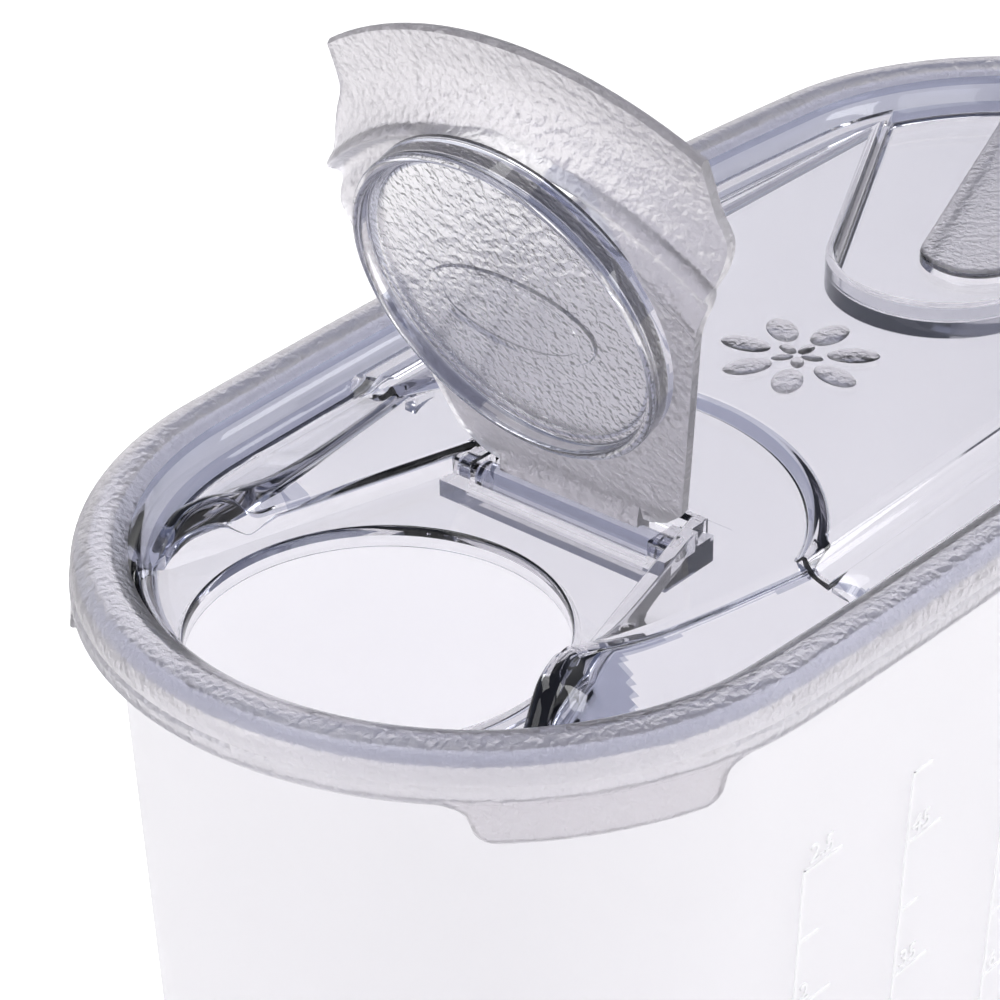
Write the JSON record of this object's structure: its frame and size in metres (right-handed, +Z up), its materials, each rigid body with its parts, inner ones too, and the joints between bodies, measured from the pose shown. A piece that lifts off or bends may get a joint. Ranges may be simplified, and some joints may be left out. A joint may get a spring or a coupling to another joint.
{
  "type": "food storage container with pouring lid",
  "caption": "Oval pantry container with tapered translucent walls, a lift-off rimmed lid and a hinged flap that plugs a round pouring hole.",
  "frame": {"origin": "middle of the container's underside, on the table", "axes": "+Z up, X along the length with the spout end at -X, the graduated side faces -Y"},
  "size_m": [0.2476, 0.1146, 0.2318],
  "materials": {
    "tub": "translucent frosted",
    "lid": "clear smoke grey, fine grain on the rim",
    "flap": "clear smoke grey, fine grain"
  },
  "bodies": {
    "tub": {"container_tub": "tub"},
    "lid": {"lid": "lid"},
    "flap": {"pour_flap": "flap"}
  },
  "joints": [
    {"name": "lid_lift", "type": "slide", "parent": "tub", "child": "lid", "axis": [0, 0, 1], "range_m": [0, 0.04]},
    {"name": "flap_hinge", "type": "hinge", "parent": "lid", "child": "flap", "pos_m": [-0.0515, 0, 0.1586], "axis": [0, 1, 0], "range_deg": [-71.9, 28]}
  ]
}
